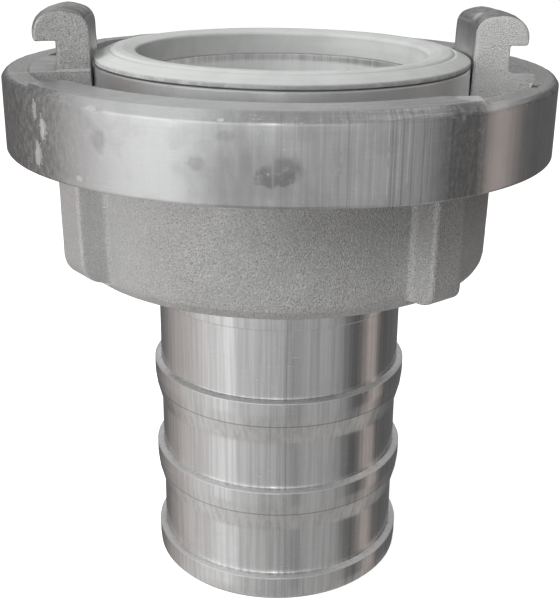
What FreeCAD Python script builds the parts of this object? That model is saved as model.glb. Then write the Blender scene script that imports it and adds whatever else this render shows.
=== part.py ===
import FreeCAD, Part
import math, os

# Quarter turn fire hose coupling half with a barbed hose tail.
# Millimetres, Z up, the coupling axis on the Z axis, the hose end on Z = 0.
# Azimuth 0 is +X, counted anticlockwise seen from the coupling face.

os.makedirs("parts", exist_ok=True)
V = FreeCAD.Vector

# ---------------------------------------------------------------- heights
z_ring = 108.3            # underside of the thick lug ring rim
z_skirt = 80.1            # lower edge of the cast skirt
z_floor = 115.1           # floor of the track for the mate's lugs
z_lip = 122.7             # underside of the locking lip
z_cast = 125.4            # as-cast rim top beside the lugs
z_step = 125.7            # turned floor outside the lug neck
z_face = 126.2            # machined top of the locking lip
z_chamfer = 124.2         # lower end of the worn outer chamfer
z_hook = 131.8            # underside of the lug hook
z_top = 138.5             # top of the lugs
z_line = 70.85            # end of the slightly thicker shoulder of the tail

# ---------------------------------------------------------------- lug ring radii
r_rim = 63.0
r_flat = 61.5             # outer edge of the flat rim top
r_track = 57.2            # outer wall of the track
r_lip = 53.0              # inner edge of the locking lip
r_lug_in = 44.5           # inner face of the lugs: lug distance 89
r_neck = 51.5
r_hook = 55.9
lug_round_far = 1.0
lug_round_near = 0.5
r_bore = 44.5             # ring bore around the tail head
r_bearing = 37.0          # ring bearing bore on the tail
z_bearing = 99.6          # underside of the bearing web
z_shoulder = 110.4        # thrust shoulder under the tail head
r_skirt_top = 49.9
r_skirt_low = 49.2
skirt_edge = 4.0          # rounding of the lower outer edge
skirt_wall = 4.8
rib_r = 55.9              # outer face of the spanner ribs
rib_root = 9.8            # rib width near the skirt
rib_face = 9.0            # rib width at the outer face
rib_round = 1.1
z_rib = 82.3              # lower end of the ribs
rib_foot = 4.0            # rounding of the lower end

# ---------------------------------------------------------------- azimuths
lug_a, lug_b = -9.0, 17.0         # ends of the first lug, the second is opposite
slot_a, slot_b = -47.0, 34.5      # ends of the open track next to that lug
rib_mid = (-51.3, 36.7)           # spanner ribs, the other two are opposite

# ---------------------------------------------------------------- hose tail
r_head = 43.4
z_head_low = 110.5
z_head = 126.5
r_journal = 36.94
z_journal = 95.0
r_shoulder = 30.1
r_neck_tail = 29.8
r_barb = 31.4
barb_crest = (6.5, 30.2, 53.5)    # upper edge of each barb
barb_ledge = 0.45                 # fall of the ledge above the crest
barb_land = 3.3
barb_crease = 6.1                 # tool line below the crest
barb_run = 10.9                   # crest to the end of the taper
r_water = 26.4                    # waterway through the tail
r_water_top = 32.6                # waterway at the head
r_seat = 40.0                     # seal seat in the head
z_seat = 123.6

# ---------------------------------------------------------------- seal
r_seal_in = 33.2
r_seal_lip = 43.2
z_seal_lip = 126.95
z_seal_edge = 127.9
z_seal_crown = 129.6

# ---------------------------------------------------------------- snap ring
wire_d = 2.8
z_wire = 98.1
r_wire = 37.3
wire_gap = 9.0                    # opening in degrees


def pol(r, z, a=0.0):
    t = math.radians(a)
    return V(r * math.cos(t), r * math.sin(t), z)


def loop(items):
    """Closed face in the XZ half plane from (r, z) points; an item of three
    numbers (r, z, k) is the mid point of an arc to the next point."""
    edges = []
    n = len(items)
    start = items[0]
    i = 1
    cur = start
    while i <= n:
        it = items[i % n]
        if len(it) == 3:
            nxt = items[(i + 1) % n]
            edges.append(Part.Arc(pol(*cur), pol(it[0], it[1]), pol(*nxt)).toShape())
            cur = nxt
            i += 2
        else:
            edges.append(Part.makeLine(pol(*cur), pol(*it)))
            cur = it
            i += 1
    return Part.Face(Part.Wire(edges))


def spin(items, a=0.0, sweep=360.0):
    f = loop(items)
    f.rotate(V(0, 0, 0), V(0, 0, 1), a)
    return f.revolve(V(0, 0, 0), V(0, 0, 1), sweep)


def corner(r0, z0, r, z, r1, z1, rad):
    """Three items that round the corner (r, z) between two straight runs."""
    ax, az = r0 - r, z0 - z
    bx, bz = r1 - r, z1 - z
    la, lb = math.hypot(ax, az), math.hypot(bx, bz)
    ax, az, bx, bz = ax / la, az / la, bx / lb, bz / lb
    half = math.acos(max(-1, min(1, ax * bx + az * bz))) / 2
    d = rad / math.tan(half)
    mx, mz = ax + bx, az + bz
    lm = math.hypot(mx, mz)
    mx, mz = mx / lm, mz / lm
    c = rad / math.sin(half)
    cx, cz = r + mx * c, z + mz * c
    return [(r + ax * d, z + az * d), (cx - mx * rad, cz - mz * rad, 1), (r + bx * d, z + bz * d)]


def rounded(pts):
    """(r, z) or (r, z, rad) points to loop items, rounding where rad is given."""
    out = []
    n = len(pts)
    for i, p in enumerate(pts):
        if len(p) == 3 and p[2] > 0:
            q, s = pts[i - 1], pts[(i + 1) % n]
            out += corner(q[0], q[1], p[0], p[1], s[0], s[1], p[2])
        else:
            out.append((p[0], p[1]))
    return out


def wedge(r0, r1, z0, z1, a, b):
    return spin([(r0, z0), (r1, z0), (r1, z1), (r0, z1)], a, b - a)


def turned(shape):
    other = shape.copy()
    other.rotate(V(0, 0, 0), V(0, 0, 1), 180)
    return other


# ================================================================ lug ring
# Turned rim and cast skirt, open below, with the bearing web at mid height.
ring = spin(rounded([
    (r_bearing, z_bearing, 0.6),
    (r_bearing, z_shoulder, 0.5),
    (r_bore, z_shoulder, 0),
    (r_bore, z_floor, 0.6),
    (r_track, z_floor, 1.5),
    (r_track, z_lip, 0),
    (r_lip, z_lip, 0.5),
    (r_lip, z_face, 0.4),
    (r_flat, z_face, 0.3),
    (r_rim, z_chamfer, 1.2),
    (r_rim, z_ring, 0.6),
    (r_skirt_top, z_ring, 1.5),
    (r_skirt_low, z_skirt, skirt_edge),
    (r_skirt_low - skirt_wall, z_skirt, 0.5),
    (r_skirt_low - skirt_wall - 0.7, z_bearing + 0.2, 3.0),
]))

# Open track on both sides of each lug: the locking lip is taken away. Its end
# behind the entry opening runs out slantwise, the other end is rounded.
for side in (0.0, 180.0):
    a, b = slot_a + side, slot_b + side
    cut = wedge(r_lip - 4, r_track, z_lip - 0.01, z_face + 2, a, b)
    # slanted run-out of the lip
    p = [pol(r_track, z_lip - 0.01, a + 0.02), pol(r_track + 0.0, z_lip - 0.01, a + 4),
         pol(r_lip - 4, z_lip - 0.01, a + 4), pol(r_lip - 4, z_lip - 0.01, a - 16)]
    slant = Part.Face(Part.makePolygon(p + [p[0]])).extrude(V(0, 0, z_face + 2 - z_lip))
    cut = cut.fuse(slant)
    ring = ring.cut(cut)
    # cast rim top beside the lug, a little lower than the machined face
    low = wedge(r_track - 0.05, 72, z_cast, z_face + 2, a - 12, b)
    edge = [pol(r_track - 1.0, z_cast, a - 1.5), pol(72, z_cast, a - 12.0),
            pol(80, z_cast, a - 30), pol(r_track - 4, z_cast, a - 30)]
    keep = Part.Face(Part.makePolygon(edge + [edge[0]]))
    keep = keep.extrude(V(0, 0, 8))
    ring = ring.cut(low.cut(keep))
    # rounded start of the lip
    t = math.radians(b)
    er = V(math.cos(t), math.sin(t), 0)
    et = V(-math.sin(t), math.cos(t), 0)
    rc = 2.6
    c0 = er * (r_lip + rc) + et * rc + V(0, 0, z_lip - 1)
    cyl = Part.makeCylinder(rc, 20, c0 - V(0, 0, 1), V(0, 0, 1))
    sq = [c0 - er * (rc + 1.5) - et * (rc + 0.5), c0 - et * (rc + 0.5), c0, c0 - er * (rc + 1.5)]
    sq = Part.Face(Part.makePolygon(sq + [sq[0]])).extrude(V(0, 0, z_face + 3 - z_lip))
    ring = ring.cut(sq.cut(cyl))
    # small cast pocket in the rim top beside the entry opening
    pocket = wedge(r_track - 1.0, 59.7, z_cast - 2.4, z_face + 2, lug_a + side - 14.5, lug_a + side - 6.5)
    ring = ring.cut(pocket)

# Lugs: neck standing in the track, hook bent outwards, rounded back.
lug_pts = rounded([
    (r_lug_in, z_floor - 0.6, 0),
    (r_track + 0.4, z_floor - 0.6, 0),
    (r_track + 0.4, z_step, 0.8),
    (r_neck, z_step, 0.7),
    (r_neck, z_hook, 0.5),
    (r_hook - 0.1, z_hook, 0.7),
    (r_hook + 0.1, z_top - 1.2, 4.6),
    (50.2, z_top + 0.35, 6.0),
    (r_lug_in - 0.05, z_top - 0.9, 3.6),
])
lug = spin(lug_pts, lug_a, lug_b - lug_a)
# rounded edges of the lug's two ends, as cast


def end_edges(shape, azimuth):
    out = []
    for e in shape.Edges:
        vs = [v.Point for v in e.Vertexes]
        on_end = all(abs(math.degrees(math.atan2(v.y, v.x)) - azimuth) < 0.01 for v in vs)
        inner = all(math.hypot(v.x, v.y) < r_lug_in + 0.06 for v in vs)
        back = min(v.z for v in vs) > z_top - 4.5 and max(v.z for v in vs) > z_top - 0.9
        if on_end and (inner or back):
            out.append(e)
    return out


lug = lug.makeFillet(lug_round_far, end_edges(lug, lug_b))
lug = lug.makeFillet(lug_round_near, end_edges(lug, lug_a))
ring = ring.fuse(lug).fuse(turned(lug))

# Spanner ribs on the skirt, slightly drafted, with a rounded lower end.
for mid in rib_mid:
    prof = rounded([
        (46.5, z_ring + 2.0),
        (rib_r, z_ring + 2.0),
        (rib_r - 0.5, z_rib - 0.2, rib_foot),
        (47.5, z_rib, 0),
    ])
    f = loop(prof)
    f.translate(V(0, -12, 0))
    slab = f.extrude(V(0, 24, 0))
    plan = [V(44, -rib_root / 2, z_skirt - 2), V(rib_r + 2, -rib_face / 2, z_skirt - 2),
            V(rib_r + 2, rib_face / 2, z_skirt - 2), V(44, rib_root / 2, z_skirt - 2)]
    prism = Part.Face(Part.makePolygon(plan + [plan[0]])).extrude(V(0, 0, 60))
    rib = slab.common(prism)
    upright = [e for e in rib.Edges
               if abs(e.Vertexes[0].Point.z - e.Vertexes[-1].Point.z) > 12
               and min(v.Point.x for v in e.Vertexes) > 54]
    rib = rib.makeFillet(rib_round, upright)
    rib.rotate(V(0, 0, 0), V(0, 0, 1), mid)
    # the part of the rib inside the hollow skirt is not there
    core = Part.makeCylinder(r_skirt_low - 2.0, 70, V(0, 0, z_skirt - 5), V(0, 0, 1))
    rib = rib.cut(core)
    ring = ring.fuse(rib).fuse(turned(rib))

ring = ring.removeSplitter()

# ================================================================ hose tail
barbs = []
for k in (2, 1, 0):
    top = barb_crest[k]
    barbs += [(r_neck_tail, top + barb_ledge), (r_barb, top, 0.15), (r_barb, top - barb_land, 8.0)]
    if k:
        barbs += [(r_barb - 0.35, top - barb_crease), (r_neck_tail, top - barb_run, 4.0)]
    else:
        barbs += [(r_barb - 0.2, 1.1, 0.8), (r_neck_tail + 0.4, 0.0)]

tail = spin(rounded([
    (r_water_top, z_seat, 0.25),
    (r_seat, z_seat, 0.3),
    (r_seat, z_head, 0.2),
    (r_head, z_head, 0.35),
    (r_head, z_head_low, 0.5),
    (r_journal, z_head_low, 0),
    (r_journal, z_journal, 0.5),
    (33.5, z_journal, 1.5),
    (r_shoulder + 1.2, 86.0, 4.0),
    (r_shoulder, 78.0, 3.0),
    (r_shoulder, z_line + 0.3, 0),
    (r_neck_tail, z_line, 0),
] + barbs + [
    (r_water + 0.8, 0.0, 0),
    (r_water, 0.8, 0),
    (r_water, 92.0, 4.0),
    (r_water_top, 104.0, 4.0),
]))
# groove for the snap ring
groove = spin(rounded([(r_journal - 1.15, z_wire - 1.55, 0.9), (r_journal + 1, z_wire - 1.55, 0),
                       (r_journal + 1, z_wire + 1.55, 0), (r_journal - 1.15, z_wire + 1.55, 0.9)]))
tail = tail.cut(groove).removeSplitter()

# ================================================================ sealing ring
seal = spin(rounded([
    (r_seal_in, z_seat, 0.3),
    (r_seat, z_seat, 0.3),
    (r_seat, z_seal_lip, 0.0),
    (r_seal_lip, z_seal_lip, 0.3),
    (r_seal_lip, z_seal_edge, 0.45),
    (40.0, z_seal_crown - 0.45, 0.8),
    (39.35, z_seal_crown - 0.5, 0.3),
    (38.6, z_seal_crown - 0.02, 0.8),
    (36.6, z_seal_crown, 2.0),
    (r_seal_in, z_seal_crown - 0.65, 1.0),
]))

# ================================================================ snap ring
wire = Part.Wire([Part.makeCircle(wire_d / 2, pol(r_wire, z_wire), V(0, 1, 0))])
snap = Part.Face(wire)
snap.rotate(V(0, 0, 0), V(0, 0, 1), 90 + wire_gap / 2)
snap = snap.revolve(V(0, 0, 0), V(0, 0, 1), 360 - wire_gap)

parts = {
    "lug_ring": ring,
    "hose_tail": tail,
    "sealing_ring": seal,
    "snap_ring": snap,
}
for name, shape in parts.items():
    solids = shape.Solids
    if len(solids) == 1:
        shape = solids[0]
    shape.exportStep("parts/%s.step" % name)
    bb = shape.BoundBox
    print(name, "solids", len(solids), "valid", shape.isValid(), "volume", round(shape.Volume, 1),
          "x", round(bb.XMin, 2), round(bb.XMax, 2), "y", round(bb.YMin, 2), round(bb.YMax, 2),
          "z", round(bb.ZMin, 2), round(bb.ZMax, 2))
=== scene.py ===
import bpy
import math
import numpy as np
from mathutils import Matrix, Vector
from mathutils.geometry import tessellate_polygon


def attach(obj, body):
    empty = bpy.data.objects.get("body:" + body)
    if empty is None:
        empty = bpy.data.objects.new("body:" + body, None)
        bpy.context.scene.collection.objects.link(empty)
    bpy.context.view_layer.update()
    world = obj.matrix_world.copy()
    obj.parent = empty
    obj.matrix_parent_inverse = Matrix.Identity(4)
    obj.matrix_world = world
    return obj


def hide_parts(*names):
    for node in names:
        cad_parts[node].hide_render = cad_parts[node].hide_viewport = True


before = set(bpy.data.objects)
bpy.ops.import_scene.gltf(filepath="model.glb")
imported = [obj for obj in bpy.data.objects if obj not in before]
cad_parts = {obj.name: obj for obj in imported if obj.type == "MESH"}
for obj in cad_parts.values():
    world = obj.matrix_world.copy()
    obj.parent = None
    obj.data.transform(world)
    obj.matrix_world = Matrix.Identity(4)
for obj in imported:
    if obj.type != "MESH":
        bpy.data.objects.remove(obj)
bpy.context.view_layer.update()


MM = 0.001
rng = np.random.default_rng(20)


# ============================================================ mesh helpers
def corners(pts, step, arc_deg=15.0):
    """(r, z, rad) corners of a closed profile to sampled points. Returns the
    points and, for each, the number of the corner whose run or arc it is on."""
    n = len(pts)
    tang = []
    for i, (r, z, rad) in enumerate(pts):
        p = np.array([r, z], float)
        a = np.array(pts[i - 1][:2], float) - p
        b = np.array(pts[(i + 1) % n][:2], float) - p
        a /= np.linalg.norm(a)
        b /= np.linalg.norm(b)
        if rad <= 0:
            tang.append([p])
            continue
        half = math.acos(max(-1, min(1, float(a @ b)))) / 2
        d = rad / math.tan(half)
        m = (a + b) / np.linalg.norm(a + b)
        c = p + m * rad / math.sin(half)
        t0, t1 = p + a * d, p + b * d
        a0 = math.atan2(*(t0 - c)[::-1])
        a1 = math.atan2(*(t1 - c)[::-1])
        da = (a1 - a0 + math.pi) % (2 * math.pi) - math.pi
        k = max(2, int(math.ceil(abs(math.degrees(da)) / arc_deg)))
        tang.append([c + rad * np.array([math.cos(a0 + da * j / k), math.sin(a0 + da * j / k)]) for j in range(k + 1)])
    out, seg = [], []
    for i in range(n):
        for q in tang[i]:
            out.append(q)
            seg.append(i)
        e, s = tang[i][-1], tang[(i + 1) % n][0]
        st = step[i] if isinstance(step, (list, tuple)) else step
        k = max(1, int(math.ceil(np.linalg.norm(s - e) / st)))
        for j in range(1, k):
            out.append(e + (s - e) * j / k)
            seg.append(i)
    return np.array(out), np.array(seg)


def ring_mesh(name, R, Z, PHI):
    """Closed torus-like mesh from (azimuth, profile) grids in mm and degrees."""
    nu, nv = R.shape
    t = np.radians(PHI)
    co = np.stack([R * np.cos(t), R * np.sin(t), Z], -1).reshape(-1, 3) * MM
    i = np.arange(nu)[:, None]
    j = np.arange(nv)[None, :]
    a = i * nv + j
    b = ((i + 1) % nu) * nv + j
    c = ((i + 1) % nu) * nv + (j + 1) % nv
    d = i * nv + (j + 1) % nv
    quads = np.stack([a, b, c, d], -1).reshape(-1, 4)
    # outward winding
    q = co[quads[:, :]]
    vol = np.einsum('ij,ij->i', q[:, 0], np.cross(q[:, 1], q[:, 2])).sum()
    vol += np.einsum('ij,ij->i', q[:, 0], np.cross(q[:, 2], q[:, 3])).sum()
    if vol < 0:
        quads = quads[:, ::-1]
    me = bpy.data.meshes.new(name)
    me.vertices.add(len(co))
    me.vertices.foreach_set("co", co.astype(np.float32).ravel())
    me.loops.add(len(quads) * 4)
    me.loops.foreach_set("vertex_index", quads.astype(np.int32).ravel())
    me.polygons.add(len(quads))
    me.polygons.foreach_set("loop_start", np.arange(0, len(quads) * 4, 4, dtype=np.int32))
    me.update(calc_edges=True)
    me.validate()
    return me


def new_object(name, mesh):
    o = bpy.data.objects.new(name, mesh)
    bpy.context.scene.collection.objects.link(o)
    return o


def applied(o):
    """The mesh of an object with its modifiers worked in."""
    dg = bpy.context.evaluated_depsgraph_get()
    dg.update()
    me = bpy.data.meshes.new_from_object(o.evaluated_get(dg), preserve_all_data_layers=True, depsgraph=dg)
    old = o.data
    o.modifiers.clear()
    o.data = me
    if old.users == 0:
        bpy.data.meshes.remove(old)
    return me


def shade(o, angle=38.0):
    me = o.data
    me.polygons.foreach_set("use_smooth", np.ones(len(me.polygons), bool))
    me.set_sharp_from_angle(angle=math.radians(angle))
    m = o.modifiers.new("even", "WEIGHTED_NORMAL")
    m.weight = 50
    m.keep_sharp = True
    applied(o)


def azimuths(step, windows):
    """Azimuth columns in degrees: an even spread, with closer ones in windows."""
    out = set(np.round(np.arange(0, 360, step), 4).tolist())
    for a, b, s in windows:
        for v in np.arange(a, b + 1e-6, s):
            out.add(round(float(v) % 360, 4))
    v = np.array(sorted(out))
    keep = [0]
    for i in range(1, len(v)):
        if v[i] - v[keep[-1]] > 0.03:
            keep.append(i)
    return v[keep]


def smooth(e0, e1, x):
    t = np.clip((x - e0) / (e1 - e0), 0, 1)
    return t * t * (3 - 2 * t)


def wrap(a):
    return (a + 180.0) % 360.0 - 180.0


def lumps(x, y, z, scale, seed, octaves=2):
    """Cheap smooth 3-D noise as a sum of waves, about -1 to 1."""
    g = np.random.default_rng(seed)
    out = np.zeros(np.broadcast(x, y, z).shape)
    tot = 0.0
    for o in range(octaves):
        for _ in range(9):
            v = g.normal(size=3)
            v *= (2 ** o) * g.uniform(0.6, 1.4) / np.linalg.norm(v) * 2 * math.pi / scale
            w = 0.6 ** o
            out += w * np.sin(v[0] * x + v[1] * y + v[2] * z + g.uniform(0, 6.28))
            tot += w * w * 0.5
    return out / math.sqrt(tot) * 0.5


def dents(R, Z, PHI, marks, radius):
    """Shallow dents: (azimuth, z, half length mm, half height mm, depth mm, tilt deg)."""
    D = np.zeros(R.shape)
    for az, z, hl, hh, dep, tilt in marks:
        x = np.radians(wrap(PHI - az)) * radius
        y = Z - z
        c, s = math.cos(math.radians(tilt)), math.sin(math.radians(tilt))
        u, v = (x * c + y * s) / hl, (-x * s + y * c) / hh
        q = u * u + v * v
        D += dep * np.where(q < 1, (1 - q) ** 2, 0) - 0.25 * dep * np.exp(-((np.sqrt(q) - 1.15) / 0.22) ** 2)
    return D


# ============================================================ lug ring
z_ring, z_floor, z_lip, z_cast, z_face, z_cham = 108.3, 115.1, 122.7, 125.4, 126.2, 124.2
r_rim, r_flat, r_track, r_lip = 63.0, 61.5, 57.2, 53.0
z_skirt = 80.1
slot_a, slot_b, lug_a, lug_b = -48.6, 34.5, -9.0, 17.0
rib_mid = (-51.3, 36.7, 128.7, 216.7)

prof = [
    (37.0, 99.6, 0.6), (37.0, 110.4, 0.5), (44.5, 110.4, 0.15), (44.5, z_floor, 0.6),
    (r_track, z_floor, 1.5), (r_track, z_lip, 0.2), (r_lip, z_lip, 0.5), (r_lip, z_face, 0.4),
    (r_flat, z_face, 0.45), (r_rim, z_cham, 1.3), (r_rim, z_ring, 0.7), (49.9, z_ring, 1.5),
    (49.2, z_skirt, 4.0), (44.4, z_skirt, 0.6), (43.7, 99.8, 3.0)]
step = [3.0, 3.0, 2.5, 2.6, 1.9, 2.0, 1.4, 0.72, 0.8, 1.15, 1.6, 1.35, 1.4, 4.0, 3.0]
P, S = corners(prof, step, 21.0)
# closer rows where the ribs end on the lower edge of the skirt
rows, seg_ = [], []
for i in range(len(P)):
    rows.append(P[i])
    seg_.append(S[i])
    q = P[(i + 1) % len(P)]
    if S[i] in (11, 12) and P[i][1] < 92.0 and P[i][1] > 82.05 and P[i][0] > 48.0:
        for zz in (88.6, 87.6, 86.8, 86.1, 85.5, 85.2, 84.9, 84.6, 84.3, 84.0, 83.7, 83.45, 83.2, 83.0, 82.88, 82.8, 82.74):
            if q[1] + 0.03 < zz < P[i][1] - 0.03:
                f_ = (P[i][1] - zz) / (P[i][1] - q[1])
                rows.append(P[i] + (q - P[i]) * f_)
                seg_.append(S[i])
P, S = np.array(rows), np.array(seg_)

win = []
for k in (0.0, 180.0):
    win += [(slot_b + k - 0.2, slot_b + k + 3.2, 0.17), (slot_a + k - 16.5, slot_a + k + 0.6, 0.5),
            (lug_a + k - 18.8, lug_a + k - 12.2, 0.4)]
for m in rib_mid:
    win += [(m - 6.6, m - 4.1, 0.16), (m + 4.1, m + 6.6, 0.16)]
az = azimuths(1.2, win + [(203.0, 226.0, 0.7)])
U, K = np.meshgrid(az, np.arange(len(P)), indexing="ij")
R = P[K, 0].copy()
Z = P[K, 1].copy()
SEG = S[K]
PHI = U.copy()

# the locking lip: its inner radius along the azimuth
A = wrap(PHI)


def lip_radius(phi):
    """Inner radius of the lip; r_track where there is none."""
    out = np.full(phi.shape, r_lip)
    for k in (0.0, 180.0):
        d = wrap(phi - k)
        opened = (d >= slot_a) & (d <= slot_b)
        out = np.where(opened, r_track, out)
        t = np.radians(d - slot_b) * 53.0
        rc = 2.6
        start = (t > 0) & (t < rc)
        out = np.where(start, r_lip + rc - np.sqrt(np.clip(rc ** 2 - (rc - t) ** 2, 0, None)), out)
        p1 = r_track * np.array([math.cos(math.radians(slot_a)), math.sin(math.radians(slot_a))])
        p2 = (r_lip - 4) * np.array([math.cos(math.radians(slot_a - 16)), math.sin(math.radians(slot_a - 16))])
        nrm = np.array([-(p2 - p1)[1], (p2 - p1)[0]])
        rl = (nrm @ p1) / (nrm[0] * np.cos(np.radians(d)) + nrm[1] * np.sin(np.radians(d)))
        run = (d < slot_a) & (d > slot_a - 16)
        out = np.where(run, np.clip(rl, r_lip, r_track), out)
    return out


RL = lip_radius(PHI)
g = (r_track - RL) / (r_track - r_lip)
inner = (SEG >= 5) & (SEG <= 8) & (R < r_track)
R = np.where(inner, r_track - (r_track - R) * g, R)

# rim top left as cast beside the lugs, and a small pocket in it
LOW = np.zeros(R.shape)
for k in (0.0, 180.0):
    d = wrap(PHI - k)
    p1 = (r_track - 1.0) * np.array([math.cos(math.radians(slot_a + 1.6)), math.sin(math.radians(slot_a + 1.6))])
    p2 = 72.0 * np.array([math.cos(math.radians(slot_a - 6.0)), math.sin(math.radians(slot_a - 6.0))])
    x, y = R * np.cos(np.radians(d)), R * np.sin(np.radians(d))
    nrm = np.array([-(p2 - p1)[1], (p2 - p1)[0]])
    nrm /= np.linalg.norm(nrm)
    side = (x - p1[0]) * nrm[0] + (y - p1[1]) * nrm[1]
    if ((55 - p1[0]) * nrm[0] + (0 - p1[1]) * nrm[1]) < 0:
        side = -side
    wide_ = 0.25 + 0.9 * smooth(60.6, 61.6, R)
    m = smooth(0.0, 1.0, 0.5 + 0.5 * side / wide_) * (d < slot_b) * (d > slot_a - 30) * (R > r_track - 0.2)
    if k > 90:
        m = m * (1.0 - 0.8 * smooth(-30.0, -40.0, d))      # the casting is higher there
    LOW = np.maximum(LOW, m)
top = SEG <= 9
top &= SEG >= 5
zc = np.where(top, np.minimum(Z, z_cast - 0.12 * smooth(61.3, 62.4, R)), Z)
Z = Z + (zc - Z) * LOW
for k in (0.0, 180.0):
    d = wrap(PHI - k)
    q = ((d + 24.4) / 3.0) ** 2 + ((R - 57.2) / 2.6) ** 2
    bowl = np.sqrt(np.clip(1 - q, 0, 1)) * (R > r_track - 0.3)
    zc = np.where(top, np.minimum(Z, z_cast - 1.9), Z)
    Z = Z + (zc - Z) * np.minimum(1, 1.6 * bowl)


# spanner ribs: outline of skirt and ribs at each height
def rib_exit(phi, z, r_skirt):
    """Distance from the axis at which a ray leaves the skirt or a rib."""
    face = 55.9 - 0.5 * (110.3 - z) / 27.0
    rho_ = np.where(np.abs(wrap(phi - rib_mid[3])) < 12, 5.2, 2.4)
    zc_ = np.where(rho_ > 4, 83.4, 82.8) + rho_
    low = np.clip(zc_ - z, 0, rho_)
    face = face - rho_ + np.sqrt(np.clip(rho_ ** 2 - low ** 2, 0, None))
    face = np.where(z < 82.77, 30.0, face)
    rf, rr = 1.15, 1.0

    def sdf(r):
        best = None
        d1 = r - r_skirt
        for m in rib_mid:
            t = np.radians(wrap(phi - m))
            x, y = r * np.cos(t), np.abs(r * np.sin(t))
            w = 4.9 - 0.0288 * (x - 44.0)
            qx, qy = x - face + rr, y - w + rr
            d2 = np.hypot(np.maximum(qx, 0), np.maximum(qy, 0)) + np.minimum(np.maximum(qx, qy), 0) - rr
            d2 = np.where(np.cos(t) > 0, d2, 99.0)
            best = d2 if best is None else np.minimum(best, d2)
        ua, ub = np.maximum(rf - d1, 0), np.maximum(rf - best, 0)
        return np.maximum(rf, np.minimum(d1, best)) - np.hypot(ua, ub)

    lo, hi = r_skirt - 0.8, np.full(phi.shape, 57.5)
    for _ in range(26):
        mid = (lo + hi) / 2
        s = sdf(mid) < 0
        lo, hi = np.where(s, mid, lo), np.where(s, hi, mid)
    return (lo + hi) / 2


sk = (SEG >= 10) & (SEG <= 12) & (Z < z_ring + 0.01) & (R < 60) & (R > 46)
rs = np.where(SEG == 10, 49.95, R)
RX = rib_exit(PHI, np.minimum(Z, z_ring), np.minimum(rs, 50.2))
lift = np.where(sk & (Z > 82.77), np.maximum(R, np.where(RX > rs + 0.02, RX, 0)), R)
R = np.where(sk, lift, R)

# unevenness of the cast skin, and bumps taken in use
X0, Y0 = R * np.cos(np.radians(PHI)), R * np.sin(np.radians(PHI))
castskin = ((SEG >= 10) & (SEG <= 13)).astype(float) * (R > 44.2)
R += castskin * smooth(108.3, 106.5, Z) * (0.05 * lumps(X0, Y0, Z, 14, 3) + 0.03 * lumps(X0, Y0, Z, 4.5, 4) - 0.06)
Z += LOW * (SEG >= 7) * (SEG <= 9) * (Z > 124.5) * (0.05 * lumps(X0, Y0, Z, 6, 5) - 0.05)

# the underside of the rim is a little lower towards +X in front
Z -= 0.42 * (SEG == 10) * (R > 50.4) * smooth(-82.0, -64.0, A) * (1 - smooth(8.0, 30.0, A)) * (Z < 109.2)

outer = ((SEG >= 8) & (SEG <= 10)).astype(float) * (R > 60.5)
marks = []
# the worn places seen in front left and front right
marks += [(219.2, 121.6, 0.6, 1.7, 0.22, 8), (221.9, 118.4, 0.9, 2.2, 0.35, -10), (219.6, 113.0, 1.0, 2.6, 0.35, 6),
          (199.5, 117.2, 0.7, 1.4, 0.2, -20), (236.0, 124.2, 1.6, 0.5, 0.15, 0), (231.9, 110.4, 0.8, 0.5, 0.15, 25),
          (302.1, 123.9, 1.4, 0.9, 0.28, 10), (300.0, 124.9, 0.9, 0.7, 0.2, 0), (263.9, 123.6, 1.0, 0.4, 0.12, 0),
          (267.8, 123.9, 1.6, 0.45, 0.12, 0)]
for i in range(46):
    a_ = rng.uniform(185, 250) if i < 22 else rng.uniform(0, 360)
    marks.append((a_, rng.uniform(123.6, 125.4), rng.uniform(0.5, 1.8), rng.uniform(0.25, 0.6), rng.uniform(0.06, 0.22), rng.uniform(-25, 25)))
for i in range(34):
    marks.append((rng.uniform(0, 360), rng.uniform(108.5, 109.3), rng.uniform(0.4, 1.2), rng.uniform(0.25, 0.5), rng.uniform(0.05, 0.16), rng.uniform(-15, 15)))
for i in range(26):
    marks.append((rng.uniform(0, 360), rng.uniform(110, 123), rng.uniform(0.3, 0.9), rng.uniform(0.3, 1.6), rng.uniform(0.03, 0.09), rng.uniform(-35, 35)))
DD = dents(R, Z, PHI, marks, 63.0) * outer
R -= np.maximum(DD, 0.0)
Z -= 0.5 * np.maximum(DD, 0.0) * (Z > 123.5)
R = np.minimum(R, r_rim - 0.03)

ring_me = ring_mesh("lug_ring_body", R, Z, PHI)
ring = new_object("coupling_ring", ring_me)


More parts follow.
